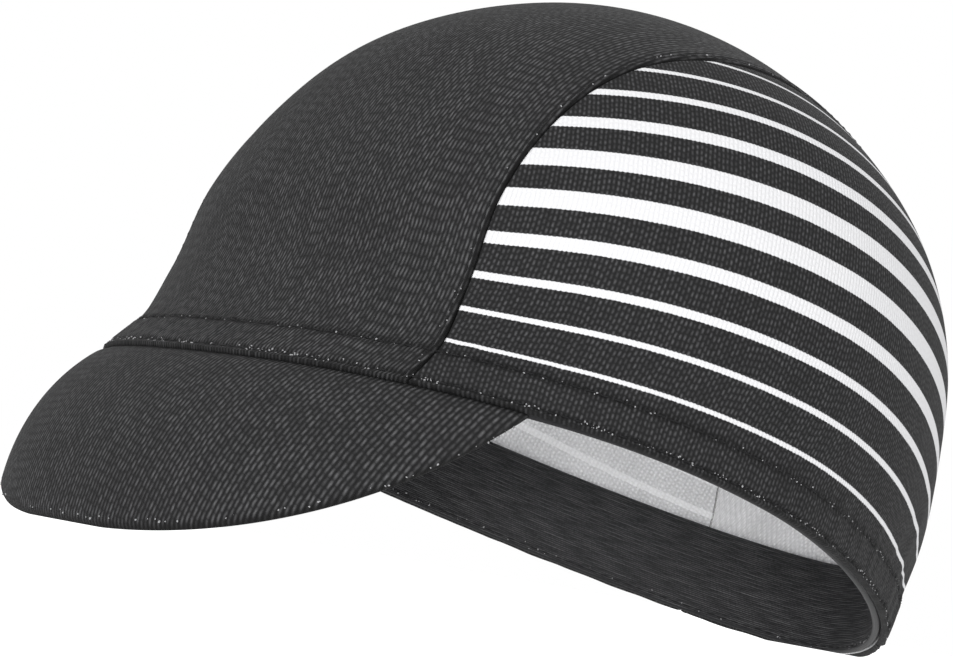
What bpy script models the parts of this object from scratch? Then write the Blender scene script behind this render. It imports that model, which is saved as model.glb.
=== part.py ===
"""A soft cycling cap, resting on a surface as it would by itself.

Metres, +Z up. The peak points along -Y and the wearer's left side is +X. Three cloth panels
make the crown, a short peak is turned down at the front, and an elastic band lines the rim.
Each piece is worked out in the cap's own frame, whose XY plane holds the rim and whose Z axis
runs through the crown's top. The whole is then tipped back, until the peak's front edge and
the back of the rim stand on one level.
"""

from collections import namedtuple
import math

import bmesh
import bpy
from mathutils import Matrix
import numpy as np

# The rim, measured from under the crown's top
RIM_HALF_WIDTH = 0.0825
RIM_FRONT = 0.0865
RIM_BACK = 0.1090
SIDE_ARCH = 0.0030
FRONT_DIP = 0.0036
FRONT_SQUARENESS = 2.26
BACK_TAPER = 0.36
BACK_ROUNDING = 0.25

# The crown's height and the cloth
CROWN_HEIGHT = 0.1065
CLOTH = 0.0012
SEAM_GAP = 0.0003

# The centre panel's width along the front hem
PANEL_WIDTH = 0.1066

# The elastic band inside the rim
BAND_HEIGHT = 0.0210
BAND_CLOTH = 0.0013
BAND_GAP = 0.0005

# The peak: its angles are in degrees
PEAK_LENGTH = 0.0417
PEAK_BOARD = 0.0028
PEAK_HALF_ANGLE = 52.5
PEAK_FAN = 1.25
PEAK_DROP = 60.5
PEAK_CURL = 26.0
PEAK_FULLNESS = 2.58
PEAK_SHOULDER = 1.01

# How deep the soft edges are pressed flat where the cap stands
PRESSED = 0.0008

# Points nearer than this are one point, and this is too little to divide by
SAME_POINT = 1e-6
NEARLY_NOTHING = 1e-9

# How finely each piece is divided
ROWS_OVER = 40
COLUMNS_ACROSS = 16
COLUMNS_DOWN = 12
RIM_STEPS = 84
BAND_ROWS = 5
PEAK_ROWS = 28
PEAK_COLUMNS = 6

# One row for each level of the crown. height is a share of the crown's height, and the other
# columns say how far the cloth stands out there, as a share of a half-ellipse dome.
Level = namedtuple("Level", "height side front back")
LEVELS = (
    Level(0.00, 1.000, 1.000, 1.000),
    Level(0.07, 1.002, 0.940, 1.006),
    Level(0.20, 1.044, 0.904, 1.015),
    Level(0.38, 1.091, 0.942, 1.026),
    Level(0.58, 1.136, 0.978, 1.088),
    Level(0.76, 1.196, 1.013, 1.140),
    Level(0.90, 1.231, 1.010, 1.170),
    Level(1.00, 1.187, 0.983, 1.190),
)

# One row for each place along the seams that bound the centre panel, from the front rim (0)
# over the top to the back rim (1). width is a share of the width along the front hem.
SeamPlace = namedtuple("SeamPlace", "way width")
SEAM_PLACES = (
    SeamPlace(0.00, 1.000),
    SeamPlace(0.25, 0.930),
    SeamPlace(0.50, 0.945),
    SeamPlace(0.75, 0.665),
    SeamPlace(1.00, 0.615),
)


def clear_scene():
    for item in list(bpy.data.objects):
        bpy.data.objects.remove(item, do_unlink=True)


def climb_of(height_share):
    """Turns a share of the height into a share of the way up the dome's quarter arc."""
    return np.arcsin(np.clip(height_share, -1.0, 1.0)) * 2.0 / math.pi


def eased(places, values, at):
    """A smooth curve through a table's values, which runs straight on before its first place."""
    places = np.asarray(places, float)
    values = np.asarray(values, float)
    slopes = np.gradient(values, places)
    at = np.asarray(at, float)
    first = np.clip(np.searchsorted(places, at, side="right") - 1, 0, len(places) - 2)
    step = places[first + 1] - places[first]
    share = (at - places[first]) / step
    rise = values[first + 1] - values[first]
    bend_in = slopes[first] * step - rise
    bend_out = rise - slopes[first + 1] * step
    curved = (
        values[first]
        + rise * share
        + share * (1.0 - share) * (bend_in * (1.0 - share) + bend_out * share)
    )
    straight = values[0] + slopes[0] * (at - places[0])
    return np.where(at < places[0], straight, curved)


LEVEL_CLIMBS = climb_of([level.height for level in LEVELS])
SIDE_SHARES = [level.side for level in LEVELS]
FRONT_SHARES = [level.front for level in LEVELS]
BACK_SHARES = [level.back for level in LEVELS]


def seam_half_width(way):
    """Half the centre panel's width at a share of the way over the top."""
    shares = eased([place.way for place in SEAM_PLACES], [place.width for place in SEAM_PLACES], way)
    return shares * PANEL_WIDTH / 2.0


def rim_lift(x, y):
    """How far the rim stands above its plane: up at the sides, down at the front."""
    arch = SIDE_ARCH * (x / RIM_HALF_WIDTH) ** 2
    dip = FRONT_DIP * (np.minimum(y, 0.0) / RIM_FRONT) ** 2
    return arch - dip


def fullness(x, y, above_rim):
    """Under 1 inside the crown's outer face, 1 on it, and over 1 outside it.

    The outline of each level is a squarish oval at the front and one that narrows at the back.
    """
    share = above_rim / (CROWN_HEIGHT - rim_lift(x, y))
    climb = climb_of(share)
    half_width = RIM_HALF_WIDTH * eased(LEVEL_CLIMBS, SIDE_SHARES, climb)
    front = RIM_FRONT * eased(LEVEL_CLIMBS, FRONT_SHARES, climb)
    back = RIM_BACK * eased(LEVEL_CLIMBS, BACK_SHARES, climb)
    across = np.abs(x / half_width)
    along = np.abs(y / np.where(y < 0.0, front, back))
    upwards = np.clip(climb, 0.0, 1.0)
    power = FRONT_SQUARENESS + (2.0 - FRONT_SQUARENESS) * upwards
    front_outline = (across**power + along**power) ** (2.0 / power)
    corner = (across + BACK_ROUNDING * along) * (along + BACK_ROUNDING * across)
    nip = (across * along) ** 2 / np.maximum(corner, NEARLY_NOTHING)
    back_outline = across**2 + along**2 + 2.0 * BACK_TAPER * (1.0 - upwards) * nip
    return np.where(y < 0.0, front_outline, back_outline) + share**2


def crown_points(base, direction):
    """Where rays from base meet the crown's outer face. Both give Z as a height over the rim."""
    base, direction = np.broadcast_arrays(base, direction)
    inside = np.zeros(base.shape[:-1])
    outside = np.full(base.shape[:-1], 2.0 * (RIM_HALF_WIDTH + RIM_FRONT + RIM_BACK + CROWN_HEIGHT))
    halvings = 44
    for _ in range(halvings):
        middle = (inside + outside) / 2.0
        spot = base + direction * middle[..., None]
        beyond = fullness(spot[..., 0], spot[..., 1], spot[..., 2]) > 1.0
        outside = np.where(beyond, middle, outside)
        inside = np.where(beyond, inside, middle)
    points = base + direction * inside[..., None]
    points[..., 2] += rim_lift(points[..., 0], points[..., 1])
    return points


def fullness_at(points):
    """The fullness at points given in the cap's own frame."""
    x, y, z = points[..., 0], points[..., 1], points[..., 2]
    return fullness(x, y, z - rim_lift(x, y))


def crown_normals(points):
    """The outward normals of the crown's outer face."""
    step = CLOTH / 20.0
    offsets = step * np.eye(3)
    slopes = [fullness_at(points + offset) - fullness_at(points - offset) for offset in offsets]
    return unit(np.stack(slopes, axis=-1))


def unit(vectors):
    return vectors / np.linalg.norm(vectors, axis=-1, keepdims=True)


def seam_points(way, half_width):
    """Points on the crown at a way over the top, half_width to the left of its centre line."""
    angle = way * math.pi
    zero = np.zeros(np.broadcast(way, half_width).shape)
    base = np.stack([half_width + zero, zero, zero], axis=-1)
    direction = np.stack([zero, zero - np.cos(angle), zero + np.sin(angle)], axis=-1)
    return crown_points(base, direction)


def ways_over():
    """Steps over the top from hem to hem, which grow shorter towards the hems' quick curves."""
    even = np.linspace(0.0, 1.0, ROWS_OVER + 1)
    crowded = (1.0 - np.cos(even * math.pi)) / 2.0
    return (even + crowded) / 2.0


def centre_panel_grid():
    """The outer face of the centre panel: a row across for each step over the top."""
    way = ways_over()[:, None]
    across = np.linspace(-1.0, 1.0, COLUMNS_ACROSS + 1)[None, :]
    return seam_points(way, across * (seam_half_width(way) - SEAM_GAP / 2.0))


def side_panel_grid():
    """The outer face of the left side panel: a row from the seam down to the rim for each step."""
    way = ways_over()
    seam = seam_points(way, seam_half_width(way) + SEAM_GAP / 2.0)
    seam[:, 2] -= rim_lift(seam[:, 0], seam[:, 1])
    seam = unit(seam)
    corners = np.arctan2(seam[[0, -1], 0], -seam[[0, -1], 1])
    turn = corners[0] + (corners[1] - corners[0]) * way
    rim = np.stack([np.sin(turn), -np.cos(turn), 0.0 * turn], axis=-1)
    even = np.linspace(0.0, 1.0, COLUMNS_DOWN + 1)[None, :, None]
    down = (even + np.sin(even * math.pi / 2.0)) / 2.0
    between = np.arccos(np.clip((seam * rim).sum(axis=-1), -1.0, 1.0))[:, None, None]
    between = np.maximum(between, NEARLY_NOTHING)
    direction = (
        np.sin((1.0 - down) * between) * seam[:, None, :] + np.sin(down * between) * rim[:, None, :]
    ) / np.sin(between)
    return crown_points(np.zeros(3), direction)


def rim_ring(turns, above_rim):
    """Points on the crown at a height over the rim, turned from the front towards the left."""
    zero = np.zeros(np.broadcast(turns, above_rim).shape)
    base = np.stack([zero, zero, zero + above_rim], axis=-1)
    direction = np.stack([zero + np.sin(turns), zero - np.cos(turns), zero], axis=-1)
    return crown_points(base, direction)


def band_grids():
    """The outer and inner faces of the elastic band, which lies against the crown's inside."""
    turns = np.linspace(0.0, 2.0 * math.pi, RIM_STEPS, endpoint=False)[:, None]
    above_rim = np.linspace(0.0, BAND_HEIGHT, BAND_ROWS + 1)[None, :]
    crown = rim_ring(turns, above_rim)
    normals = crown_normals(crown)
    outer = crown - normals * (CLOTH + BAND_GAP)
    return outer, outer - normals * BAND_CLOTH


def peak_grids():
    """The upper and lower faces of the peak: rays from the rim that drop and curl down."""
    even = np.linspace(-1.0, 1.0, PEAK_ROWS + 1)[:, None]
    across = (even + np.sin(even * math.pi / 2.0)) / 2.0
    along = np.linspace(0.0, 1.0, PEAK_COLUMNS + 1)[None, :]
    turns = across * math.radians(PEAK_HALF_ANGLE)
    rim = rim_ring(turns, 0.0)
    rim_normals = crown_normals(rim)
    rim_run = unit(np.gradient(rim[:, 0], axis=0))[:, None, :]
    hem_down = unit(np.cross(rim_run, rim_normals))
    length = PEAK_LENGTH * np.clip(1.0 - np.abs(across) ** PEAK_FULLNESS, 0.0, 1.0) ** PEAK_SHOULDER
    drop = np.radians(PEAK_DROP + PEAK_CURL * (along - 0.5))
    fan = PEAK_FAN * turns
    zero = np.zeros(np.broadcast(across, along).shape)
    heading = np.stack(
        [zero + np.sin(fan) * np.cos(drop), zero - np.cos(fan) * np.cos(drop), zero - np.sin(drop)],
        axis=-1,
    )
    upper = rim + hem_down * SEAM_GAP + heading * (length * along)[..., None]
    sideways = np.stack([zero + np.cos(fan), zero + np.sin(fan), zero], axis=-1)
    normals = unit(np.cross(heading, sideways))
    root = np.clip(1.0 - along * length / (2.0 * PEAK_BOARD), 0.0, 1.0)[..., None]
    normals = unit(rim_normals * root + normals * (1.0 - root))
    return upper, upper - normals * PEAK_BOARD


def tip_back_angle(points):
    """The tilt at which the foremost and the hindmost low points stand on one level."""
    front = points[points[:, 1] < 0.0]
    back = points[points[:, 1] >= 0.0]
    low, high = 0.0, math.radians(60.0)
    halvings = 40
    for _ in range(halvings):
        middle = (low + high) / 2.0
        up = np.array([0.0, -math.sin(middle), math.cos(middle)])
        if (front @ up).min() < (back @ up).min():
            low = middle
        else:
            high = middle
    return low


def material(name, colour, roughness):
    made = bpy.data.materials.new(name)
    made.use_nodes = True
    shader = made.node_tree.nodes["Principled BSDF"]
    shader.inputs["Base Color"].default_value = (*colour, 1.0)
    shader.inputs["Roughness"].default_value = roughness
    shader.inputs["Metallic"].default_value = 0.0
    return made


def cloth_solid(name, outer, inner, finish, parent, ring=False):
    """A closed sheet between two grids of points. Rows that shrink to a point are merged."""
    rows, columns = outer.shape[:2]
    solid = bmesh.new()
    top, under = ([[solid.verts.new(point) for point in row] for row in grid] for grid in (outer, inner))
    steps = [(row, (row + 1) % rows) for row in range(rows if ring else rows - 1)]
    pairs = [(column, column + 1) for column in range(columns - 1)]
    for row, after in steps:
        for face in (top, under):
            for left, right in pairs:
                solid.faces.new((face[row][left], face[row][right], face[after][right], face[after][left]))
        for side in (0, columns - 1):
            solid.faces.new((top[row][side], top[after][side], under[after][side], under[row][side]))
    for end in () if ring else (0, rows - 1):
        for left, right in pairs:
            solid.faces.new((top[end][left], top[end][right], under[end][right], under[end][left]))
    bmesh.ops.remove_doubles(solid, verts=solid.verts, dist=SAME_POINT)
    bmesh.ops.recalc_face_normals(solid, faces=solid.faces)
    mesh = bpy.data.meshes.new(name)
    solid.to_mesh(mesh)
    solid.free()
    mesh.shade_smooth()
    mesh.set_sharp_from_angle(angle=math.radians(50.0))
    mesh.materials.append(finish)
    piece = bpy.data.objects.new(name, mesh)
    bpy.context.scene.collection.objects.link(piece)
    piece.parent = parent
    return piece


def mirrored(grid):
    """The same grid on the cap's other side."""
    return grid * np.array([-1.0, 1.0, 1.0])


def pressed(grid, up, floor):
    """Lifts every point that lies under the pressed level up to that level."""
    height = grid @ up - floor
    return grid + np.maximum(PRESSED - height, 0.0)[..., None] * up


clear_scene()

centre = centre_panel_grid()
left = side_panel_grid()
grids = {
    "centre_panel": (centre, centre - crown_normals(centre) * CLOTH),
    "side_panel_left": (left, left - crown_normals(left) * CLOTH),
}
grids["side_panel_right"] = tuple(mirrored(grid) for grid in grids["side_panel_left"])
grids["peak"] = peak_grids()
grids["sweatband"] = band_grids()

finishes = {
    "centre_panel": material("centre_panel_cloth", (0.030, 0.030, 0.032), 0.85),
    "side_panel_left": material("side_panel_cloth", (0.034, 0.034, 0.036), 0.85),
    "peak": material("peak_cloth", (0.028, 0.028, 0.030), 0.85),
    "sweatband": material("sweatband_elastic", (0.014, 0.014, 0.015), 0.70),
}
finishes["side_panel_right"] = finishes["side_panel_left"]

every_point = np.concatenate([grid.reshape(-1, 3) for pair in grids.values() for grid in pair])
tilt = tip_back_angle(every_point)
up = np.array([0.0, -math.sin(tilt), math.cos(tilt)])
backward = np.array([0.0, math.cos(tilt), math.sin(tilt)])
floor = (every_point @ up).min()
reach_back = every_point @ backward

cap = bpy.data.objects.new("cap", None)
bpy.context.scene.collection.objects.link(cap)
middle_y = (reach_back.min() + reach_back.max()) / 2.0
cap.matrix_world = Matrix.Translation((0.0, -middle_y, -floor - PRESSED)) @ Matrix.Rotation(-tilt, 4, "X")

for name, (outer, inner) in grids.items():
    cloth_solid(
        name,
        pressed(outer, up, floor),
        pressed(inner, up, floor),
        finishes[name],
        cap,
        ring=name == "sweatband",
    )
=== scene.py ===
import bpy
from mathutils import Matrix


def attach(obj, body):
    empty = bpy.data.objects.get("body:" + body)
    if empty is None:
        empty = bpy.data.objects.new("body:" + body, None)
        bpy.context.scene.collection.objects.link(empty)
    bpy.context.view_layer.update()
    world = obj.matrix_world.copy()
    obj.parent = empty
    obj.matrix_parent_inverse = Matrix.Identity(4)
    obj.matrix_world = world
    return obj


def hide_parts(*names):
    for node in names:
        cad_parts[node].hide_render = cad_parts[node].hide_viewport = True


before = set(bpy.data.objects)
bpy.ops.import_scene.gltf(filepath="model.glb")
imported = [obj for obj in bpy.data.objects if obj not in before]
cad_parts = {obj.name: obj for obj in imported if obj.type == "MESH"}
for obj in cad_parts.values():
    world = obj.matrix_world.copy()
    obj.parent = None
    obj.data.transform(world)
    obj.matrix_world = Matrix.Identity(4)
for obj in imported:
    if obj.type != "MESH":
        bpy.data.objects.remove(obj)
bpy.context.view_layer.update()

from collections import namedtuple
import math

import bmesh
import bpy
from mathutils import Matrix
import numpy as np

# The cap stands on a wide white floor that glows, in a white room. Three soft lamps hang over it
# and a small one stands low in front, to light its inside. The camera looks up a little from just
# over the floor, leaning to one side.
scene = bpy.context.scene
scene.view_settings.view_transform = "Standard"

CAMERA_PLACE = (0.47264, -0.38809, 0.0040)
CAMERA_TURN = (94.865, -9.978, 50.925)
CAMERA_LENS = 108.0
FLOOR_RADIUS = 12.0
FLOOR_GREY = 0.20
FLOOR_GLOW = 1.15


def feed(tree, socket, value):
    """Links an output to a socket, or sets the socket to a plain value."""
    if isinstance(value, bpy.types.NodeSocket):
        tree.links.new(value, socket)
    else:
        socket.default_value = value


def plain_material(name, colour, roughness):
    """A new material and its shader."""
    made = bpy.data.materials.new(name)
    made.use_nodes = True
    shader = made.node_tree.nodes["Principled BSDF"]
    shader.inputs["Base Color"].default_value = (*colour, 1.0)
    shader.inputs["Roughness"].default_value = roughness
    return made, shader


def new_piece(name, mesh):
    """A new object in the scene."""
    piece = bpy.data.objects.new(name, mesh)
    scene.collection.objects.link(piece)
    return piece


camera = new_piece("camera", bpy.data.cameras.new("camera"))
camera.location = CAMERA_PLACE
camera.rotation_euler = [math.radians(angle) for angle in CAMERA_TURN]
camera.data.lens = CAMERA_LENS
camera.data.clip_start = 0.01
scene.camera = camera

room = bpy.data.worlds.new("white_room")
room.use_nodes = True
room.node_tree.nodes["Background"].inputs["Color"].default_value = (1.0, 1.0, 1.0, 1.0)
room.node_tree.nodes["Background"].inputs["Strength"].default_value = 1.0
scene.world = room

floor_shape = bmesh.new()
bmesh.ops.create_circle(floor_shape, cap_ends=True, segments=96, radius=FLOOR_RADIUS)
floor_mesh = bpy.data.meshes.new("floor")
floor_shape.to_mesh(floor_mesh)
floor_shape.free()
floor_finish, floor_shader = plain_material("lit_white_floor", [FLOOR_GREY] * 3, 0.80)
floor_shader.inputs["Specular IOR Level"].default_value = 0.0
floor_shader.inputs["Emission Color"].default_value = (1.0, 1.0, 1.0, 1.0)
floor_shader.inputs["Emission Strength"].default_value = FLOOR_GLOW
floor_mesh.materials.append(floor_finish)
floor = new_piece("floor", floor_mesh)

Lamp = namedtuple("Lamp", "name place width power")
LAMPS = (
    Lamp("lamp_over_front", (0.05, -0.95, 1.15), 0.8, 4.8),
    Lamp("lamp_by_the_camera", (1.25, -0.45, 0.60), 0.9, 0.8),
    Lamp("lamp_behind", (-0.60, 0.90, 1.00), 0.8, 2.5),
    Lamp("lamp_low", (0.92, -0.75, 0.04), 0.2, 12.0),
)
for lamp in LAMPS:
    light = new_piece(lamp.name, bpy.data.lights.new(lamp.name, "AREA"))
    light.data.shape = "DISK"
    light.data.size = lamp.width
    light.data.energy = lamp.power
    light.location = lamp.place
    light.rotation_euler = (-light.location).to_track_quat("-Z", "Y").to_euler()


# The centre panel runs over the head from the peak to the back of the rim. It is cut from black
# polyester knit with a ribbed face and a white reverse, its ends are turned in as hems, and its
# two long edges are sewn to the side panels.
TIPPED_BACK = math.radians(12.2928)
STANDS_AT = (0.0, -0.002469, 0.022407)
CAP_PLACE = np.array(Matrix.Translation(STANDS_AT) @ Matrix.Rotation(-TIPPED_BACK, 4, "X"))

RIM_HALF_WIDTH = 0.0825
RIM_FRONT = 0.0865
RIM_BACK = 0.1090
SIDE_ARCH = 0.0030
FRONT_DIP = 0.0036
FRONT_SQUARENESS = 2.26
BACK_TAPER = 0.36
BACK_ROUNDING = 0.25
CROWN_HEIGHT = 0.1065
PANEL_WIDTH = 0.1066
CLOTH = 0.0012
SEAM_GAP = 0.0003
NEARLY_NOTHING = 1e-9
SAME_POINT = 2e-6

# The hem: two rows of stitches hold a doubled edge. They pucker the cloth between them, and the
# elastic gathers it at the back. Waves are given by their lengths along the rim
HEM_ROWS = (0.0010, 0.0074)
HEM_FOLD = 0.00045
HEM_STEP = (0.0002, 0.0014)
HEM_ROLL = 0.0004
HEM_PITCH = 0.0030
ROW_DENT = 0.00055
ROW_WIDTH = 0.00050
ROW_TIGHT = 0.70
ROW_BEAT = 0.30
PUCKER = 0.00026
PUCKER_REACH = 0.0055
PUCKER_WAVES = (0.0053, 0.0079, 0.0127)
GATHER = 0.00055
GATHER_REACH = 0.020
GATHER_WAVES = (0.0171, 0.0113, 0.0263)
GATHERED_FROM = 0.030
GATHERED_FULLY = 0.080
# Painted shade in the hem's stitched grooves: its widths at the two rows, its waves along the rim, how
# strong and how uneven it is, and how strong along the rolled edge
GROOVE_SHADE_WIDTHS = (0.0003, 0.0006)
GROOVE_SHADE_WAVES = (0.0021, 0.0034, 0.0059)
GROOVE_SHADE_STRENGTH = 0.75
GROOVE_SHADE_RAGGED = 0.35
ROLL_SHADE = 0.5
RIM_RADIUS = 0.094

# The seam: its allowances lie under the centre panel and stand up as a low ridge
SEAM_ROW = 0.0011
SEAM_RIDGE = 0.00025
RIDGE_START = (0.0001, 0.0007)
RIDGE_END = (0.0026, 0.0046)
SEAM_VALLEY = 0.00035
VALLEY_WIDTH = 0.00024

Level = namedtuple("Level", "height side front back")
LEVELS = (
    Level(0.00, 1.000, 1.000, 1.000),
    Level(0.07, 1.002, 0.940, 1.006),
    Level(0.20, 1.044, 0.904, 1.015),
    Level(0.38, 1.091, 0.942, 1.026),
    Level(0.58, 1.136, 0.978, 1.088),
    Level(0.76, 1.196, 1.013, 1.140),
    Level(0.90, 1.231, 1.010, 1.170),
    Level(1.00, 1.187, 0.983, 1.190),
)
SeamPlace = namedtuple("SeamPlace", "way width")
SEAM_PLACES = (
    SeamPlace(0.00, 1.000),
    SeamPlace(0.25, 0.930),
    SeamPlace(0.50, 0.945),
    SeamPlace(0.75, 0.665),
    SeamPlace(1.00, 0.615),
)


def climb_of(height_share):
    """Turns a share of the height into a share of the way up the dome's quarter arc."""
    return np.arcsin(np.clip(height_share, -1.0, 1.0)) * 2.0 / math.pi


def eased(places, values, at):
    """A smooth curve through a table's values, which runs straight on before its first place."""
    places = np.asarray(places, float)
    values = np.asarray(values, float)
    slopes = np.gradient(values, places)
    at = np.asarray(at, float)
    first = np.clip(np.searchsorted(places, at, side="right") - 1, 0, len(places) - 2)
    step = places[first + 1] - places[first]
    share = (at - places[first]) / step
    rise = values[first + 1] - values[first]
    bend_in = slopes[first] * step - rise
    bend_out = rise - slopes[first + 1] * step
    curved = (
        values[first]
        + rise * share
        + share * (1.0 - share) * (bend_in * (1.0 - share) + bend_out * share)
    )
    straight = values[0] + slopes[0] * (at - places[0])
    return np.where(at < places[0], straight, curved)


LEVEL_CLIMBS = climb_of([level.height for level in LEVELS])
SIDE_SHARES = [level.side for level in LEVELS]
FRONT_SHARES = [level.front for level in LEVELS]
BACK_SHARES = [level.back for level in LEVELS]


def seam_half_width(way):
    """Half the centre panel's width at a share of the way over the top."""
    shares = eased([place.way for place in SEAM_PLACES], [place.width for place in SEAM_PLACES], way)
    return shares * PANEL_WIDTH / 2.0


def rim_lift(x, y):
    """How far the rim stands above its plane: up at the sides, down at the front."""
    arch = SIDE_ARCH * (x / RIM_HALF_WIDTH) ** 2
    dip = FRONT_DIP * (np.minimum(y, 0.0) / RIM_FRONT) ** 2
    return arch - dip


def fullness(x, y, above_rim):
    """Under 1 inside the crown's outer face, 1 on it, and over 1 outside it."""
    share = above_rim / (CROWN_HEIGHT - rim_lift(x, y))
    climb = climb_of(share)
    half_width = RIM_HALF_WIDTH * eased(LEVEL_CLIMBS, SIDE_SHARES, climb)
    front = RIM_FRONT * eased(LEVEL_CLIMBS, FRONT_SHARES, climb)
    back = RIM_BACK * eased(LEVEL_CLIMBS, BACK_SHARES, climb)
    across = np.abs(x / half_width)
    along = np.abs(y / np.where(y < 0.0, front, back))
    upwards = np.clip(climb, 0.0, 1.0)
    power = FRONT_SQUARENESS + (2.0 - FRONT_SQUARENESS) * upwards
    front_outline = (across**power + along**power) ** (2.0 / power)
    corner = (across + BACK_ROUNDING * along) * (along + BACK_ROUNDING * across)
    nip = (across * along) ** 2 / np.maximum(corner, NEARLY_NOTHING)
    back_outline = across**2 + along**2 + 2.0 * BACK_TAPER * (1.0 - upwards) * nip
    return np.where(y < 0.0, front_outline, back_outline) + share**2


def crown_points(base, direction):
    """Where rays from base meet the crown's outer face. Both give Z as a height over the rim."""
    base, direction = np.broadcast_arrays(base, direction)
    inside = np.zeros(base.shape[:-1])
    outside = np.full(base.shape[:-1], 2.0 * (RIM_HALF_WIDTH + RIM_FRONT + RIM_BACK + CROWN_HEIGHT))
    halvings = 34
    for _ in range(halvings):
        middle = (inside + outside) / 2.0
        spot = base + direction * middle[..., None]
        beyond = fullness(spot[..., 0], spot[..., 1], spot[..., 2]) > 1.0
        outside = np.where(beyond, middle, outside)
        inside = np.where(beyond, inside, middle)
    points = base + direction * inside[..., None]
    points[..., 2] += rim_lift(points[..., 0], points[..., 1])
    return points


def unit(vectors):
    """The same directions, each 1 long."""
    lengths = np.linalg.norm(vectors, axis=-1, keepdims=True)
    return vectors / np.maximum(lengths, NEARLY_NOTHING)


def height_over_rim(points):
    """How high points in the cap's own frame lie over the rim beside them."""
    return points[..., 2] - rim_lift(points[..., 0], points[..., 1])


def fullness_at(points):
    """The fullness at points given in the cap's own frame."""
    return fullness(points[..., 0], points[..., 1], height_over_rim(points))


def crown_normals(points):
    """The outward normals of the crown's outer face."""
    offsets = CLOTH / 20.0 * np.eye(3)
    slopes = [fullness_at(points + offset) - fullness_at(points - offset) for offset in offsets]
    return unit(np.stack(slopes, axis=-1))


def seam_points(way, half_width):
    """Points on the crown at a way over the top, half_width to the left of its centre line."""
    angle = way * math.pi
    zero = np.zeros(np.broadcast(way, half_width).shape)
    base = np.stack([half_width + zero, zero, zero], axis=-1)
    direction = np.stack([zero, zero - np.cos(angle), zero + np.sin(angle)], axis=-1)
    return crown_points(base, direction)


def rim_ring(turns, above_rim):
    """Points on the crown at a height over the rim, turned from the front towards the left."""
    zero = np.zeros(np.broadcast(turns, above_rim).shape)
    base = np.stack([zero, zero, zero + above_rim], axis=-1)
    direction = np.stack([zero + np.sin(turns), zero - np.cos(turns), zero], axis=-1)
    return crown_points(base, direction)


def paced(count, shares, places):
    """Steps that reach each place after its share of the count, to crowd them where it matters."""
    return np.interp(np.linspace(0.0, 1.0, count + 1), shares, places)


def dent(distance, width):
    """1 at no distance, fading to nothing over about two widths."""
    return np.exp(-((distance / width) ** 2))


def step_up(value, start, end):
    """0 up to start, 1 from end on, and a smooth climb between."""
    share = np.clip((value - start) / (end - start), 0.0, 1.0)
    return share * share * (3.0 - 2.0 * share)


def ripple(along, lengths):
    """An uneven wave between about -1 and 1 along the cloth, from a few wave lengths."""
    shift = 2.3
    waves = [
        np.sin(along / length * 2.0 * math.pi + shift * place) for place, length in enumerate(lengths)
    ]
    return sum(waves) / len(waves)


def along_rim(points):
    """About how far round the rim each point lies, from the front towards the left."""
    return np.arctan2(points[..., 0], -points[..., 1]) * RIM_RADIUS


def hem_relief(points):
    """How far the hem stands out over the crown, with dents at its stitches and puckers."""
    above = height_over_rim(points)
    along = along_rim(points)
    upper_row = HEM_ROWS[-1]
    doubled = HEM_FOLD * (1.0 - step_up(above, upper_row + HEM_STEP[0], upper_row + HEM_STEP[1]))
    rows = sum(dent(above - row, ROW_WIDTH) for row in HEM_ROWS)
    tight = ROW_TIGHT + ROW_BEAT * np.cos(along / HEM_PITCH * 2.0 * math.pi)
    pucker = PUCKER * ripple(along, PUCKER_WAVES) * dent(above - upper_row * 0.75, PUCKER_REACH)
    at_back = step_up(points[..., 1], GATHERED_FROM, GATHERED_FULLY)
    gather = GATHER * at_back * ripple(along, GATHER_WAVES) * dent(above, GATHER_REACH)
    return doubled - ROW_DENT * rows * tight + pucker + gather


def hem_shadow(points):
    """How much painted shade a point takes in the hem's stitched grooves: 1 at their bottom, 0 on open
    cloth.
    """
    above = height_over_rim(points)
    ragged = GROOVE_SHADE_STRENGTH + GROOVE_SHADE_RAGGED * ripple(along_rim(points), GROOVE_SHADE_WAVES)
    lower, upper = [ragged * dent(above - row, width) for row, width in zip(HEM_ROWS, GROOVE_SHADE_WIDTHS)]
    # Painted shade along the hem's rolled edge
    roll = ROLL_SHADE * (1.0 - step_up(above, 0.0001, HEM_ROLL))
    return np.clip(np.maximum(np.maximum(upper, lower), roll), 0.0, 1.0)


def centre_relief(points, from_seam):
    """The hem's relief, and the ridge and valley along the seams."""
    ridge = step_up(from_seam, *RIDGE_START) - step_up(from_seam, *RIDGE_END)
    row = dent(from_seam - SEAM_ROW, ROW_WIDTH)
    valley = dent(from_seam, VALLEY_WIDTH)
    row_share = 0.4
    return hem_relief(points) + SEAM_RIDGE * ridge - row_share * ROW_DENT * row - SEAM_VALLEY * valley


def run_along(points, axis, start):
    """Cloth lengths along one axis of a grid, counted from the row or column at start."""
    steps = np.linalg.norm(np.diff(points, axis=axis), axis=-1)
    first = np.zeros_like(np.take(steps, [0], axis=axis))
    lengths = np.concatenate([first, np.cumsum(steps, axis=axis)], axis=axis)
    return lengths - np.take(lengths, [start], axis=axis)


def stand(points):
    """Moves points from the cap's own frame to where the cap stands, flat where it touches."""
    placed = points @ CAP_PLACE[:3, :3].T + CAP_PLACE[:3, 3]
    placed[..., 2] = np.maximum(placed[..., 2], 0.0)
    return placed


def border_of(rows, columns, ring):
    """The grid places round the sheet's edge, as closed loops."""
    if ring:
        return [[(row, 0) for row in range(rows)], [(row, columns - 1) for row in range(rows)]]
    return [
        [(0, column) for column in range(columns - 1)]
        + [(row, columns - 1) for row in range(rows - 1)]
        + [(rows - 1, column) for column in range(columns - 1, 0, -1)]
        + [(row, 0) for row in range(rows - 1, 0, -1)]
    ]


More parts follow.
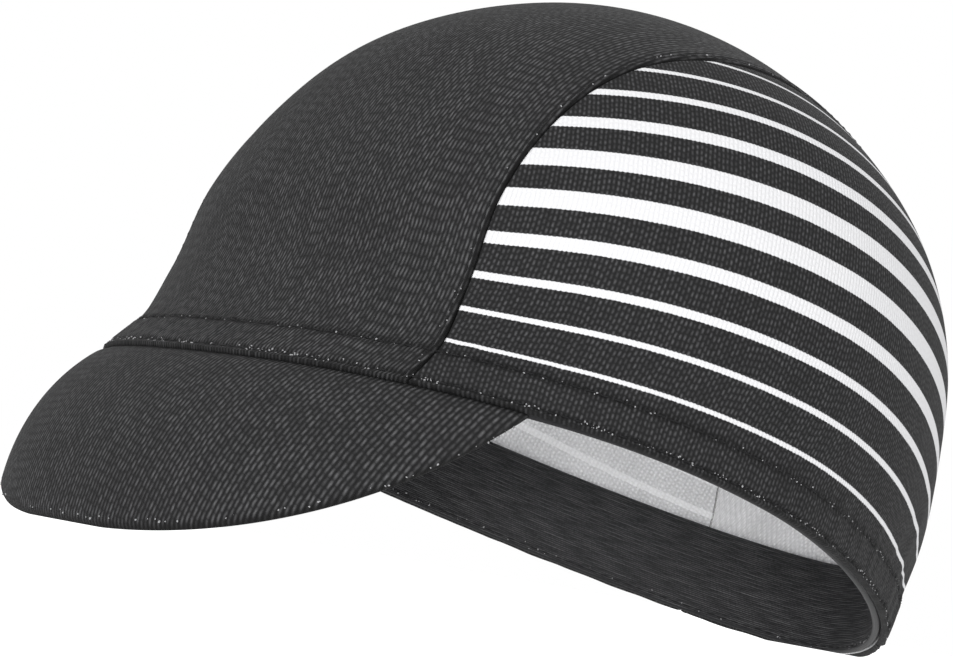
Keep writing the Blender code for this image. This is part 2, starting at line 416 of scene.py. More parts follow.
def cloth_sheet(name, outer, inner, cloth, finishes, ring=False):
    """A closed sheet with rounded edges between two grids of points.

    cloth holds each point's place on the flat cloth in X and Y, and in Z how much painted shade
    it takes in a stitched groove. The first finish is the outer face's and the second the inner one's.
    """
    rows, columns = outer.shape[:2]
    count = rows * columns
    number = np.arange(count).reshape(rows, columns)
    after = np.roll(number, -1, axis=0) if ring else number[1:]
    before = number if ring else number[:-1]
    quads = np.stack([before[:, :-1], before[:, 1:], after[:, 1:], after[:, :-1]], axis=-1)
    quads = quads.reshape(-1, 4)
    faces = [*quads.tolist(), *(quads[:, ::-1] + count).tolist()]
    finish_of = [0] * len(quads) + [1] * len(quads)
    points = [outer.reshape(-1, 3), inner.reshape(-1, 3)]
    places = [cloth.reshape(-1, 3), cloth.reshape(-1, 3) * (1.0, 1.0, 0.0)]
    spare = 2 * count
    edge_bulge = 0.25
    for loop in border_of(rows, columns, ring):
        row, column = np.array(loop).T
        inward = (row if ring else np.clip(row, 1, rows - 2), np.clip(column, 1, columns - 2))
        middle = (outer[row, column] + inner[row, column]) / 2.0
        outward = unit(outer[row, column] - outer[inward])
        thickness = np.linalg.norm(outer[row, column] - inner[row, column], axis=-1, keepdims=True)
        points.append(middle + outward * thickness * edge_bulge)
        places.append(cloth[row, column])
        edge = number[row, column]
        mid = spare + np.arange(len(loop))
        next_edge, next_mid = np.roll(edge, -1), np.roll(mid, -1)
        faces += np.stack([edge, next_edge, next_mid, mid], axis=-1).tolist()
        faces += np.stack([mid, next_mid, next_edge + count, edge + count], axis=-1).tolist()
        finish_of += [0] * (2 * len(loop))
        spare += len(loop)
    mesh = bpy.data.meshes.new(name)
    mesh.from_pydata(stand(np.concatenate(points)).tolist(), [], faces)
    mesh.polygons.foreach_set("material_index", finish_of)
    cloth_places = mesh.attributes.new("cloth", "FLOAT_VECTOR", "POINT")
    cloth_places.data.foreach_set("vector", np.concatenate(places).ravel())
    tidy = bmesh.new()
    tidy.from_mesh(mesh)
    bmesh.ops.remove_doubles(tidy, verts=tidy.verts, dist=SAME_POINT)
    bmesh.ops.recalc_face_normals(tidy, faces=tidy.faces)
    tidy.to_mesh(mesh)
    tidy.free()
    mesh.shade_smooth()
    for finish in finishes:
        mesh.materials.append(finish)
    return new_piece(name, mesh)


def calc(tree, operation, *values):
    """One step of arithmetic in a node tree."""
    node = tree.nodes.new("ShaderNodeMath")
    node.operation = operation
    for socket, value in zip(node.inputs, values):
        feed(tree, socket, value)
    return node.outputs[0]


def blend_colours(tree, factor, first, second):
    """The first colour where the factor is 0, and the second where it is 1."""
    node = tree.nodes.new("ShaderNodeMix")
    node.data_type = "RGBA"
    feed(tree, node.inputs[0], factor)
    feed(tree, node.inputs[6], first)
    feed(tree, node.inputs[7], second)
    return node.outputs[2]


def scaled(tree, colour, factor):
    """A colour made darker or lighter."""
    node = tree.nodes.new("ShaderNodeVectorMath")
    node.operation = "SCALE"
    feed(tree, node.inputs[0], colour)
    feed(tree, node.inputs["Scale"], factor)
    return node.outputs[0]


def node_group(name, inputs, outputs):
    """A new shader node group, with the sockets that it is given and those that it fills."""
    group = bpy.data.node_groups.new(name, "ShaderNodeTree")
    for label, kind in inputs:
        group.interface.new_socket(label, in_out="INPUT", socket_type=kind)
    for label, kind in outputs:
        group.interface.new_socket(label, in_out="OUTPUT", socket_type=kind)
    return group, group.nodes.new("NodeGroupInput").outputs, group.nodes.new("NodeGroupOutput").inputs


def use_group(tree, group, values):
    """Places a node group in a material with its own values."""
    node = tree.nodes.new("ShaderNodeGroup")
    node.node_tree = group
    for label, value in values.items():
        feed(tree, node.inputs[label], value)
    return node.outputs


# The knit's ticks: how far a column sways in column widths, how finely, how far neighbours are
# staggered in ticks, how round their ends and how narrow their lit crests are, and the light of
# the dimmest tick and how much more the others may have
COLUMN_SWAY = 0.45
SWAY_SCALE = 420.0
TICK_STAGGER = 5.0
TICK_ROUNDNESS = 0.5
TICK_CREST = 3.0
TICK_DIMMEST = 0.40
TICK_VARIETY = 0.60


def knit_ticks_group():
    """Columns of short raised ticks, as the face of the knit has. Lean turns the columns."""
    group, given, gives = node_group(
        "knit_ticks",
        (
            ("Cloth", "NodeSocketVector"),
            ("Lean", "NodeSocketFloat"),
            ("Column", "NodeSocketFloat"),
            ("Tick", "NodeSocketFloat"),
            ("Broken", "NodeSocketFloat"),
        ),
        (("Height", "NodeSocketFloat"), ("Light", "NodeSocketFloat")),
    )
    sway = group.nodes.new("ShaderNodeTexNoise")
    feed(group, sway.inputs["Vector"], given["Cloth"])
    sway.inputs["Scale"].default_value = SWAY_SCALE
    sway.inputs["Detail"].default_value = 2.0
    turned = group.nodes.new("ShaderNodeVectorRotate")
    turned.rotation_type = "Z_AXIS"
    feed(group, turned.inputs["Vector"], given["Cloth"])
    feed(group, turned.inputs["Angle"], given["Lean"])
    place = group.nodes.new("ShaderNodeSeparateXYZ")
    feed(group, place.inputs[0], turned.outputs[0])
    swerve = calc(group, "MULTIPLY", calc(group, "SUBTRACT", sway.outputs["Fac"], 0.5), COLUMN_SWAY)
    column = calc(group, "ADD", calc(group, "DIVIDE", place.outputs["X"], given["Column"]), swerve)
    column_number = calc(group, "FLOOR", column)
    luck = group.nodes.new("ShaderNodeTexWhiteNoise")
    luck.noise_dimensions = "1D"
    feed(group, luck.inputs["W"], column_number)
    stagger = calc(group, "MULTIPLY", luck.outputs["Value"], TICK_STAGGER)
    tick = calc(group, "ADD", calc(group, "DIVIDE", place.outputs["Y"], given["Tick"]), stagger)
    tick_number = calc(group, "FLOOR", tick)
    ridge = calc(group, "SINE", calc(group, "MULTIPLY", calc(group, "FRACT", column), math.pi))
    bead = calc(group, "SINE", calc(group, "MULTIPLY", calc(group, "FRACT", tick), math.pi))
    bead = calc(group, "POWER", bead, TICK_ROUNDNESS)
    break_up = calc(group, "MULTIPLY", calc(group, "SUBTRACT", 1.0, bead), given["Broken"])
    height = calc(group, "MULTIPLY", ridge, calc(group, "SUBTRACT", 1.0, break_up))
    both = group.nodes.new("ShaderNodeCombineXYZ")
    feed(group, both.inputs["X"], column_number)
    feed(group, both.inputs["Y"], tick_number)
    chance = group.nodes.new("ShaderNodeTexWhiteNoise")
    chance.noise_dimensions = "2D"
    feed(group, chance.inputs["Vector"], both.outputs[0])
    bright = calc(group, "MULTIPLY_ADD", chance.outputs["Value"], TICK_VARIETY, TICK_DIMMEST)
    feed(group, gives["Height"], height)
    feed(group, gives["Light"], calc(group, "MULTIPLY", calc(group, "POWER", height, TICK_CREST), bright))
    return group


# The knit's tone: slow patches and the fleck of single yarns, and how dark the painted shade in a
# stitched groove is
ToneNoise = namedtuple("ToneNoise", "scale detail")
PATCH_NOISE = ToneNoise(45.0, 3.0)
FLECK_NOISE = ToneNoise(1500.0, 1.0)
PATCHES = 0.35
GROOVE_PAINTED_SHADE = 0.85


def knit_tone_and_shade_group():
    """The knit's uneven tone from slow patches and the fleck of single yarns, with painted shade in the
    stitched grooves.
    """
    group, given, gives = node_group(
        "knit_tone_and_painted_shade",
        (("Cloth", "NodeSocketVector"), ("Fleck", "NodeSocketFloat")),
        (("Shade", "NodeSocketFloat"),),
    )
    shades = []
    for kind in (PATCH_NOISE, FLECK_NOISE):
        noise = group.nodes.new("ShaderNodeTexNoise")
        feed(group, noise.inputs["Vector"], given["Cloth"])
        noise.inputs["Scale"].default_value = kind.scale
        noise.inputs["Detail"].default_value = kind.detail
        shades.append(calc(group, "SUBTRACT", noise.outputs["Fac"], 0.5))
    patches = calc(group, "MULTIPLY_ADD", shades[0], PATCHES, 1.0)
    flecked = calc(group, "MULTIPLY_ADD", shades[1], given["Fleck"], patches)
    place = group.nodes.new("ShaderNodeSeparateXYZ")
    feed(group, place.inputs[0], given["Cloth"])
    # The cloth's Z darkens the colour here: painted shade in the stitched grooves
    open_cloth = calc(group, "MULTIPLY_ADD", place.outputs["Z"], -GROOVE_PAINTED_SHADE, 1.0)
    feed(group, gives["Shade"], calc(group, "MULTIPLY", flecked, open_cloth))
    return group


KNIT_TICKS = knit_ticks_group()
KNIT_TONE_AND_SHADE = knit_tone_and_shade_group()

# A knit: its yarn's colour and its lit ticks', the lean of its columns in degrees, a column's
# width and a tick's length, how far ticks are parted, how flecked it is, and its relief
Knit = namedtuple("Knit", "yarn tick lean column length broken fleck bump")
KNIT_SHINE = 0.18
KNIT_BUMP = 0.8


def knit_material(name, knit, roughness=0.85, print_on=None):
    """A knit's material. print_on may lay a printed colour over the yarn's."""
    made, shader = plain_material(name, knit.yarn, roughness)
    tree = made.node_tree
    cloth = tree.nodes.new("ShaderNodeAttribute")
    cloth.attribute_name = "cloth"
    cloth = cloth.outputs["Vector"]
    ticks = use_group(
        tree,
        KNIT_TICKS,
        {
            "Cloth": cloth,
            "Lean": math.radians(knit.lean),
            "Column": knit.column,
            "Tick": knit.length,
            "Broken": knit.broken,
        },
    )
    # The shade factor darkens the yarn's colour by its patches and fleck, and by painted shade in the
    # stitched grooves
    tone = use_group(tree, KNIT_TONE_AND_SHADE, {"Cloth": cloth, "Fleck": knit.fleck})["Shade"]
    yarns = blend_colours(tree, ticks["Light"], (*knit.yarn, 1.0), (*knit.tick, 1.0))
    colour = scaled(tree, yarns, tone)
    if print_on is not None:
        colour = print_on(tree, cloth, colour, ticks["Height"])
    feed(tree, shader.inputs["Base Color"], colour)
    bump = tree.nodes.new("ShaderNodeBump")
    bump.inputs["Strength"].default_value = KNIT_BUMP
    bump.inputs["Distance"].default_value = knit.bump
    feed(tree, bump.inputs["Height"], ticks["Height"])
    feed(tree, shader.inputs["Normal"], bump.outputs[0])
    shader.inputs["Specular IOR Level"].default_value = KNIT_SHINE
    return made


RIBBED_FACE = Knit(
    yarn=(0.0060, 0.0060, 0.0063),
    tick=(0.068, 0.068, 0.070),
    lean=-3.0,
    column=0.00086,
    length=0.0026,
    broken=0.55,
    fleck=1.0,
    bump=0.00018,
)
WHITE_REVERSE = Knit(
    yarn=(0.74, 0.74, 0.75),
    tick=(0.98, 0.98, 0.99),
    lean=8.0,
    column=0.00100,
    length=0.0011,
    broken=0.9,
    fleck=0.45,
    bump=0.00028,
)

centre_face = knit_material("centre_panel_cloth", RIBBED_FACE)
plain_reverse = knit_material("panel_reverse", WHITE_REVERSE)

CENTRE_ROWS = 300
CENTRE_COLUMNS = 120

# Rows crowd at the two hems, and columns at the two seams
way = paced(CENTRE_ROWS, (0.0, 0.12, 0.88, 1.0), (0.0, 0.034, 0.966, 1.0))[:, None]
across = paced(CENTRE_COLUMNS, (0.0, 0.10, 0.90, 1.0), (-1.0, -0.955, 0.955, 1.0))[None, :]
reach = seam_half_width(way) - SEAM_GAP / 2.0
centre_base = seam_points(way, across * reach)
centre_out = crown_normals(centre_base)
from_seam = reach - np.abs(across) * reach
centre_rise = centre_relief(centre_base, from_seam)
# Z holds painted shade in the hem's grooves and along the seam's valley
centre_cloth = np.stack(
    [
        run_along(centre_base, 1, CENTRE_COLUMNS // 2),
        run_along(centre_base, 0, 0),
        np.maximum(hem_shadow(centre_base), dent(from_seam, VALLEY_WIDTH)),
    ],
    axis=-1,
)
centre_panel = cloth_sheet(
    "centre_panel_sewn",
    centre_base + centre_out * centre_rise[..., None],
    centre_base - centre_out * CLOTH,
    centre_cloth,
    (centre_face, plain_reverse),
)
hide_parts("centre_panel")
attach(centre_panel, "root")


# Each side panel is a half-moon of the same knit, printed with white stripes before it is cut.
# Its curved edge is sewn to the centre panel, and its lower edge is turned in as a hem.
SIDE_ROWS = 280
SIDE_COLUMNS = 140

Stripe = namedtuple("Stripe", "height width")
STRIPES = (
    Stripe(0.0125, 0.0009),
    Stripe(0.0210, 0.0012),
    Stripe(0.0298, 0.0018),
    Stripe(0.0392, 0.0030),
    Stripe(0.0494, 0.0046),
    Stripe(0.0602, 0.0046),
    Stripe(0.0704, 0.0030),
    Stripe(0.0798, 0.0018),
    Stripe(0.0886, 0.0012),
    Stripe(0.0971, 0.0009),
)
STRIPE_WHITE = (0.53, 0.53, 0.54)
STRIPE_GHOST = (0.97, 0.97, 0.98)
STRIPE_EDGE = 0.00018
STRIPE_TOOTH = 0.00014
# How light the print is in the knit's hollows, and how much lighter it is on its ticks
INK_IN_HOLLOWS = 0.92
INK_ON_TICKS = 0.09


def stripe_group():
    """One printed stripe across the cloth, with an edge that follows the knit's ticks."""
    group, given, gives = node_group(
        "printed_stripe",
        (
            ("Height", "NodeSocketFloat"),
            ("Middle", "NodeSocketFloat"),
            ("Width", "NodeSocketFloat"),
            ("Edge", "NodeSocketFloat"),
        ),
        (("Mask", "NodeSocketFloat"),),
    )
    distance = calc(group, "ABSOLUTE", calc(group, "SUBTRACT", given["Height"], given["Middle"]))
    within = calc(group, "SUBTRACT", calc(group, "MULTIPLY", given["Width"], 0.5), distance)
    share = calc(group, "DIVIDE", within, given["Edge"])
    clamp = group.nodes.new("ShaderNodeClamp")
    feed(group, clamp.inputs["Value"], calc(group, "ADD", share, 0.5))
    feed(group, gives["Mask"], clamp.outputs[0])
    return group


PRINTED_STRIPE = stripe_group()


def striped(tone):
    """Lays the stripes over a knit's colour."""

    def print_on(tree, cloth, colour, tick_height):
        place = tree.nodes.new("ShaderNodeSeparateXYZ")
        feed(tree, place.inputs[0], cloth)
        tooth = calc(tree, "MULTIPLY", calc(tree, "SUBTRACT", tick_height, 0.5), STRIPE_TOOTH)
        height = calc(tree, "ADD", place.outputs["Y"], tooth)
        masks = [
            use_group(
                tree,
                PRINTED_STRIPE,
                {
                    "Height": height,
                    "Middle": stripe.height,
                    "Width": stripe.width,
                    "Edge": STRIPE_EDGE,
                },
            )["Mask"]
            for stripe in STRIPES
        ]
        printed = masks[0]
        for mask in masks[1:]:
            printed = calc(tree, "MAXIMUM", printed, mask)
        # The print is a little darker in the knit's hollows than on its ticks
        print_tone_by_tick = calc(tree, "MULTIPLY_ADD", tick_height, INK_ON_TICKS, INK_IN_HOLLOWS)
        return blend_colours(tree, printed, colour, scaled(tree, tone, print_tone_by_tick))

    return print_on


TICKED_FACE = Knit(
    yarn=(0.0065, 0.0065, 0.0068),
    tick=(0.052, 0.052, 0.054),
    lean=4.0,
    column=0.00092,
    length=0.0015,
    broken=0.8,
    fleck=1.0,
    bump=0.00014,
)

side_face = knit_material("side_panel_cloth", TICKED_FACE, print_on=striped(STRIPE_WHITE))
side_reverse = knit_material("side_panel_reverse", WHITE_REVERSE, print_on=striped(STRIPE_GHOST))


def side_panel_grid():
    """The outer face of the left side panel: a row from the seam down to the rim for each step."""
    even = np.linspace(0.0, 1.0, SIDE_ROWS + 1)
    way = (even + (1.0 - np.cos(even * math.pi)) / 2.0) / 2.0
    seam = seam_points(way, seam_half_width(way) + SEAM_GAP / 2.0)
    seam[:, 2] -= rim_lift(seam[:, 0], seam[:, 1])
    seam = unit(seam)
    corners = np.arctan2(seam[[0, -1], 0], -seam[[0, -1], 1])
    turn = corners[0] + (corners[1] - corners[0]) * way
    rim = np.stack([np.sin(turn), -np.cos(turn), 0.0 * turn], axis=-1)
    down = paced(SIDE_COLUMNS, (0.0, 0.12, 0.78, 1.0), (0.0, 0.025, 0.93, 1.0))[None, :, None]
    between = np.arccos(np.clip((seam * rim).sum(axis=-1), -1.0, 1.0))[:, None, None]
    between = np.maximum(between, NEARLY_NOTHING)
    direction = (
        np.sin((1.0 - down) * between) * seam[:, None, :] + np.sin(down * between) * rim[:, None, :]
    ) / np.sin(between)
    return crown_points(np.zeros(3), direction)


LEVEL_ROWS = 180
LEVEL_COLUMNS = 40
LEVELS_TOP = CROWN_HEIGHT * 0.97
NEARLY_ALL = 0.9999


def level_run(points):
    """Cloth lengths along the level that each point lies on, counted from the cap's side."""
    turns = np.linspace(0.0, math.pi, LEVEL_ROWS + 1)[:, None]
    heights = np.linspace(0.0, LEVELS_TOP, LEVEL_COLUMNS + 1)[None, :]
    lengths = run_along(rim_ring(turns, heights), 0, LEVEL_ROWS // 2)
    turn_share = np.arctan2(points[..., 0], -points[..., 1]) / math.pi
    row = np.clip(turn_share, 0.0, NEARLY_ALL) * LEVEL_ROWS
    column = np.clip(height_over_rim(points) / LEVELS_TOP, 0.0, NEARLY_ALL) * LEVEL_COLUMNS
    low_row, low_column = row.astype(int), column.astype(int)
    row_share, column_share = row - low_row, column - low_column

    def at_row(number):
        below, over = lengths[number, low_column], lengths[number, low_column + 1]
        return below * (1.0 - column_share) + over * column_share

    return at_row(low_row) * (1.0 - row_share) + at_row(low_row + 1) * row_share


side_base = side_panel_grid()
side_out = crown_normals(side_base)
from_seam = run_along(side_base, 1, 0)
side_rise = hem_relief(side_base) - SEAM_VALLEY * dent(from_seam, VALLEY_WIDTH)
# Z holds painted shade in the hem's grooves and along the seam's valley
side_cloth = np.stack(
    [
        level_run(side_base),
        -run_along(side_base, 1, SIDE_COLUMNS),
        np.maximum(hem_shadow(side_base), dent(from_seam, VALLEY_WIDTH)),
    ],
    axis=-1,
)
side_faces = (side_base + side_out * side_rise[..., None], side_base - side_out * CLOTH)
SIDES = (("left", np.ones(3)), ("right", np.array([-1.0, 1.0, 1.0])))
for side, flip in SIDES:
    panel = cloth_sheet(
        f"side_panel_{side}_sewn",
        side_faces[0] * flip,
        side_faces[1] * flip,
        side_cloth,
        (side_face, side_reverse),
    )
    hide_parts(f"side_panel_{side}")
    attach(panel, "root")


# The peak is a stiff board inside a sleeve of the ribbed knit, cut across the ribs. The sleeve
# is turned round the board's edge and stitched, and its root is sewn in under the front hem.
PEAK_LENGTH = 0.0417
PEAK_BOARD = 0.0028
PEAK_HALF_ANGLE = 52.5
PEAK_FAN = 1.25
PEAK_DROP = 60.5
PEAK_CURL = 26.0
PEAK_FULLNESS = 2.58
PEAK_SHOULDER = 1.01
PEAK_ROWS = 240
PEAK_COLUMNS = 64
PEAK_ROLL = 0.0016
PEAK_THINNEST = 0.02
PEAK_CREASE = 0.0005
PEAK_CREASE_WIDTH = 0.0014
# How far the painted shade reaches from the peak's root and from its edge
PEAK_ROOT_SHADE_WIDTH = 0.0005
PEAK_EDGE_SHADE_WIDTH = 0.0004

SLANTED_FACE = Knit(
    yarn=(0.0055, 0.0055, 0.0058),
    tick=(0.062, 0.062, 0.064),
    lean=-2.0,
    column=0.00105,
    length=0.0019,
    broken=0.45,
    fleck=0.9,
    bump=0.00018,
)
peak_face = knit_material("peak_cloth", SLANTED_FACE)

even = np.linspace(-1.0, 1.0, PEAK_ROWS + 1)[:, None]
peak_across = (even + np.sin(even * math.pi / 2.0)) / 2.0
even = np.linspace(0.0, 1.0, PEAK_COLUMNS + 1)[None, :]
peak_along = (even + np.sin(even * math.pi / 2.0)) / 2.0
turns = peak_across * math.radians(PEAK_HALF_ANGLE)
rim = rim_ring(turns, 0.0)
rim_normals = crown_normals(rim)
rim_run = unit(np.gradient(rim[:, 0], axis=0))[:, None, :]
hem_down = unit(np.cross(rim_run, rim_normals))
length = PEAK_LENGTH * np.clip(1.0 - np.abs(peak_across) ** PEAK_FULLNESS, 0.0, 1.0) ** PEAK_SHOULDER
drop = np.radians(PEAK_DROP + PEAK_CURL * (peak_along - 0.5))
fan = PEAK_FAN * turns
zero = np.zeros(np.broadcast(peak_across, peak_along).shape)
heading = np.stack(
    [zero + np.sin(fan) * np.cos(drop), zero - np.cos(fan) * np.cos(drop), zero - np.sin(drop)],
    axis=-1,
)
peak_top = rim + hem_down * SEAM_GAP + heading * (length * peak_along)[..., None]
sideways = np.stack([zero + np.cos(fan), zero + np.sin(fan), zero], axis=-1)
peak_normals = unit(np.cross(heading, sideways))
root = np.clip(1.0 - peak_along * length / (2.0 * PEAK_BOARD), 0.0, 1.0)[..., None]
peak_normals = unit(rim_normals * root + peak_normals * (1.0 - root))
from_edge = length * (1.0 - peak_along)
roll_share = np.clip(from_edge / PEAK_ROLL, 0.0, 1.0)
rolled = np.sqrt(np.clip(1.0 - (1.0 - roll_share) ** 2, PEAK_THINNEST, 1.0))
slimmer = PEAK_BOARD * (1.0 - rolled) / 2.0
ray = length * peak_along
crease = PEAK_CREASE * dent(ray, PEAK_CREASE_WIDTH)
peak_outer = peak_top - peak_normals * (slimmer + crease)[..., None]
peak_inner = peak_top - peak_normals * (PEAK_BOARD - slimmer)[..., None]
# Painted shade in the crease at the peak's root and along its stitched edge, kept in the cloth's Z
peak_painted_shade = np.maximum(dent(ray, PEAK_ROOT_SHADE_WIDTH), dent(from_edge, PEAK_EDGE_SHADE_WIDTH))
# The cloth was cut flat: laid out again, the rim's curve opens and the rays from it fan out less
laid_turn = fan[:, 0] * math.cos(math.radians(PEAK_DROP))
run = np.gradient(run_along(peak_top, 0, PEAK_ROWS // 2)[:, 0])
laid_x, laid_y = np.cumsum(np.cos(laid_turn) * run), np.cumsum(np.sin(laid_turn) * run)
peak_cloth = np.stack(
    [
        laid_x[:, None] + ray * np.sin(laid_turn)[:, None],
        laid_y[:, None] - ray * np.cos(laid_turn)[:, None],
        peak_painted_shade,
    ],
    axis=-1,
)
peak = cloth_sheet("peak_sewn", peak_outer, peak_inner, peak_cloth, (peak_face, peak_face))
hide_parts("peak")
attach(peak, "root")


# The sweatband is a wide black elastic, woven with cords that run its length. It lies inside the
# rim, sewn to the hem along its lower edge.
BAND_HEIGHT = 0.0210
BAND_CLOTH = 0.0013
BAND_GAP = 0.0005
BAND_STEPS = 720
BAND_COLUMNS = 48
BAND_CORD = 0.0015
BAND_CORD_RISE = 0.00010

ELASTIC = Knit(
    yarn=(0.010, 0.010, 0.011),
    tick=(0.070, 0.070, 0.072),
    lean=90.0,
    column=0.00045,
    length=0.0120,
    broken=0.6,
    fleck=1.3,
    bump=0.00014,
)
band_finish = knit_material("sweatband_elastic", ELASTIC, roughness=0.55)

turns = np.linspace(0.0, 2.0 * math.pi, BAND_STEPS, endpoint=False)[:, None]
above = np.linspace(0.0, BAND_HEIGHT, BAND_COLUMNS + 1)[None, :]
band_crown = rim_ring(turns, above)
band_out = crown_normals(band_crown)
cords = BAND_CORD_RISE * np.cos(above / BAND_CORD * 2.0 * math.pi) + 0.0 * turns
band_outer = band_crown - band_out * (CLOTH + BAND_GAP)
band_inner = band_outer - band_out * (BAND_CLOTH + cords)[..., None]
band_cloth = np.stack(
    [run_along(band_crown, 0, 0), above + 0.0 * turns, 0.0 * (above + turns)], axis=-1
)
sweatband = cloth_sheet(
    "sweatband_sewn", band_outer, band_inner, band_cloth, (band_finish, band_finish), ring=True
)
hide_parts("sweatband")
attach(sweatband, "root")


# The stitches are black polyester thread. Two rows hold the hem all round, and one runs beside each
# seam. The needle pulls specks of the white reverse through, there and along the peak's edge.
STITCH_SIDES = 6
THREAD_RADIUS = 0.00021
STITCH_SHARE = 0.78
SEAM_PITCH = 0.0027
EDGE_PITCH = 0.0022
SPECK_RADIUS = 0.00019
SPECK_SPREAD = 0.00036
SPECK_RISE = 0.00008

thread, thread_shader = plain_material("black_thread", (0.006, 0.006, 0.006), 0.60)
thread_shader.inputs["Specular IOR Level"].default_value = 0.15
tree = thread.node_tree
twist = tree.nodes.new("ShaderNodeTexNoise")
twist.inputs["Scale"].default_value = 2600.0
twisted = tree.nodes.new("ShaderNodeBump")
twisted.inputs["Distance"].default_value = 0.00008
feed(tree, twisted.inputs["Height"], twist.outputs["Fac"])
feed(tree, thread_shader.inputs["Normal"], twisted.outputs[0])
thread_tone = blend_colours(
    tree, twist.outputs["Fac"], (0.002, 0.002, 0.002, 1.0), (0.016, 0.016, 0.017, 1.0)
)
feed(tree, thread_shader.inputs["Base Color"], thread_tone)

speck, speck_shader = plain_material("pulled_yarn", (0.45, 0.45, 0.46), 0.80)
tree = speck.node_tree
fuzz = tree.nodes.new("ShaderNodeTexNoise")
fuzz.inputs["Scale"].default_value = 1100.0
fuzz_tone = blend_colours(
    tree, fuzz.outputs["Fac"], (0.02, 0.02, 0.02, 1.0), (0.42, 0.42, 0.43, 1.0)
)
feed(tree, speck_shader.inputs["Base Color"], fuzz_tone)

chance = np.random.default_rng(7)
# How high the thread's middle line stands and how thick it is, from one end of a stitch to the other
STATIONS = np.array([0.0, 0.14, 0.5, 0.86, 1.0])
STATION_RISE = np.array([-0.9, 0.0, 0.45, 0.0, -0.9])
STATION_WIDTH = np.array([0.5, 0.9, 1.0, 0.9, 0.5])
SPECK_ALONG = np.array([-1.3, -0.8, 0.0, 0.8, 1.3])
SPECK_WIDTH = np.array([0.15, 0.7, 1.0, 0.7, 0.15])

# One row of stitches or specks: specks says how many there are to a stitch, on average
SewnRow = namedtuple("SewnRow", "path normals pitch stitched specks")


def at_length(path, lengths, wanted):
    """Points of a path at given lengths along it."""
    return np.stack([np.interp(wanted, lengths, path[:, axis]) for axis in range(3)], axis=-1)


def tube_round(line, radii, aside, up):
    """Rings of points round a line, in the plane of aside and up."""
    turns = np.arange(STITCH_SIDES) * 2.0 * math.pi / STITCH_SIDES
    cosines, sines = np.cos(turns)[None, :, None], np.sin(turns)[None, :, None]
    offset = cosines * np.atleast_2d(aside)[:, None] + sines * np.atleast_2d(up)[:, None]
    return line[:, None] + offset * radii[:, None, None]


def speck_tube(middle, run, aside, up):
    """One speck of yarn, which points anyhow across the cloth."""
    middle = middle + aside * SPECK_SPREAD * chance.normal() + up * SPECK_RISE
    turn = chance.uniform(0.0, math.pi)
    pointing = run * math.cos(turn) + aside * math.sin(turn)
    grow = SPECK_RADIUS * chance.uniform(0.5, 1.15)
    line = middle + pointing * (SPECK_ALONG * grow)[:, None]
    return tube_round(line, SPECK_WIDTH * grow, unit(np.cross(up, pointing)), up)


def tubes_of_row(row):
    """The stitches and the specks of one row."""
    stitches, specks = [], []
    steps = np.linalg.norm(np.diff(row.path, axis=0), axis=-1)
    lengths = np.concatenate([[0.0], np.cumsum(steps)])
    count = int(lengths[-1] / row.pitch)
    spacing = lengths[-1] / count
    for number in range(count):
        start = (number + (1.0 - STITCH_SHARE) / 2.0) * spacing
        wanted = start + STATIONS * STITCH_SHARE * spacing
        line = at_length(row.path, lengths, wanted)
        up = unit(at_length(row.normals, lengths, wanted))
        run = unit(line[-1:] - line[:1])
        aside = unit(np.cross(up, run))
        if row.stitched:
            raised = line + up * (STATION_RISE * THREAD_RADIUS)[:, None]
            stitches.append(tube_round(raised, STATION_WIDTH * THREAD_RADIUS, aside, up))
        for _ in range(chance.poisson(row.specks)):
            middle = at_length(row.path, lengths, (number + chance.random(1)) * spacing)[0]
            specks.append(speck_tube(middle, run[0], aside[2], up[2]))
    return stitches, specks


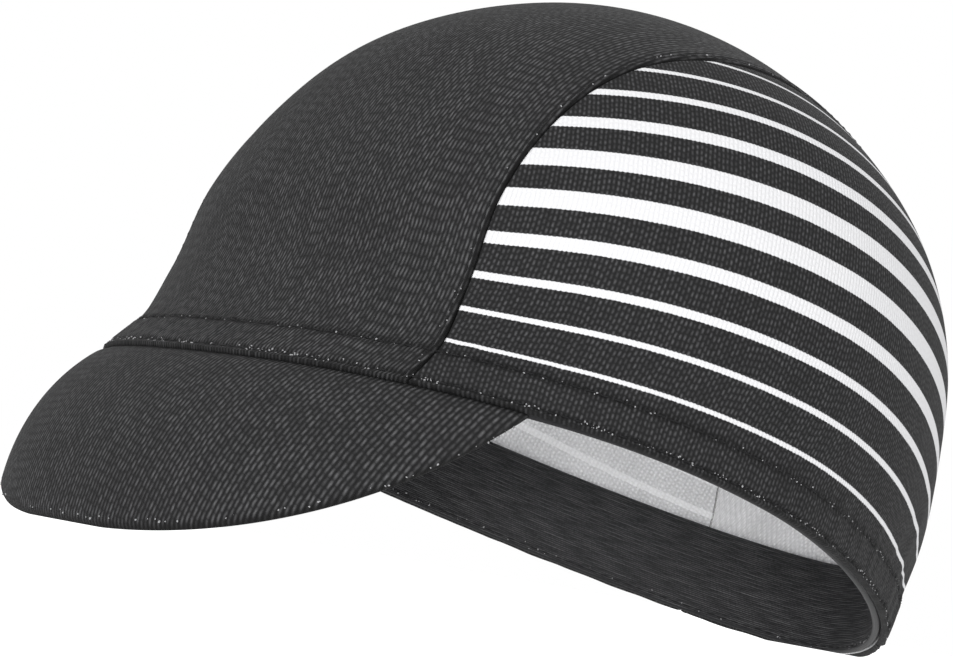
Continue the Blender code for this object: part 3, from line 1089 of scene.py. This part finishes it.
def sewn_rows(name, rows):
    """One piece of thread stitches and of specks along its rows."""
    stitches, specks = [], []
    for row in rows:
        more_stitches, more_specks = tubes_of_row(row)
        stitches += more_stitches
        specks += more_specks
    tubes = np.array(stitches + specks)
    stations = len(STATIONS)
    ring = np.arange(STITCH_SIDES)
    turned = np.roll(ring, -1)
    first = (np.arange(stations - 1) * STITCH_SIDES)[:, None]
    second = first + STITCH_SIDES
    sides = np.stack([first + ring, first + turned, second + turned, second + ring], axis=-1)
    sides = sides.reshape(-1, 4)
    faces = []
    finish_of = []
    for number in range(len(tubes)):
        at = number * stations * STITCH_SIDES
        faces += (sides + at).tolist()
        faces += [(ring[::-1] + at).tolist(), (ring + at + (stations - 1) * STITCH_SIDES).tolist()]
        finish_of += [int(number >= len(stitches))] * (len(sides) + 2)
    mesh = bpy.data.meshes.new(name)
    mesh.from_pydata(stand(tubes.reshape(-1, 3)).tolist(), [], faces)
    mesh.polygons.foreach_set("material_index", finish_of)
    tidy = bmesh.new()
    tidy.from_mesh(mesh)
    bmesh.ops.recalc_face_normals(tidy, faces=tidy.faces)
    tidy.to_mesh(mesh)
    tidy.free()
    mesh.shade_smooth()
    mesh.materials.append(thread)
    mesh.materials.append(speck)
    piece = new_piece(name, mesh)
    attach(piece, "root")


turns = np.linspace(0.0, 2.0 * math.pi, 1401)
hem_rows = []
for height, specks in zip(HEM_ROWS, (3.0, 0.8)):
    base = rim_ring(turns, height)
    out = crown_normals(base)
    path = base + out * hem_relief(base)[:, None]
    hem_rows.append(SewnRow(path, out, pitch=HEM_PITCH, stitched=True, specks=specks))
sewn_rows("hem_stitches", hem_rows)

way = np.linspace(0.004, 0.996, 900)
base = seam_points(way, seam_half_width(way) - SEAM_ROW)
out = crown_normals(base)
seam_path = base + out * centre_relief(base, SEAM_ROW)[:, None]
for side, flip in SIDES:
    seam_row = SewnRow(seam_path * flip, out * flip, pitch=SEAM_PITCH, stitched=True, specks=0.8)
    sewn_rows(f"seam_stitches_{side}", [seam_row])

band_path = np.concatenate([band_inner[:, 2], band_inner[:1, 2]])
band_facing = -np.concatenate([band_out[:, 2], band_out[:1, 2]])
band_row = SewnRow(band_path, band_facing, pitch=HEM_PITCH, stitched=True, specks=1.2)
sewn_rows("band_stitches", [band_row])

edge_path, edge_facing = peak_outer[6:-6, -4], peak_normals[6:-6, -4]
edge_row = SewnRow(edge_path, edge_facing, pitch=EDGE_PITCH, stitched=False, specks=0.9)
sewn_rows("peak_edge_specks", [edge_row])
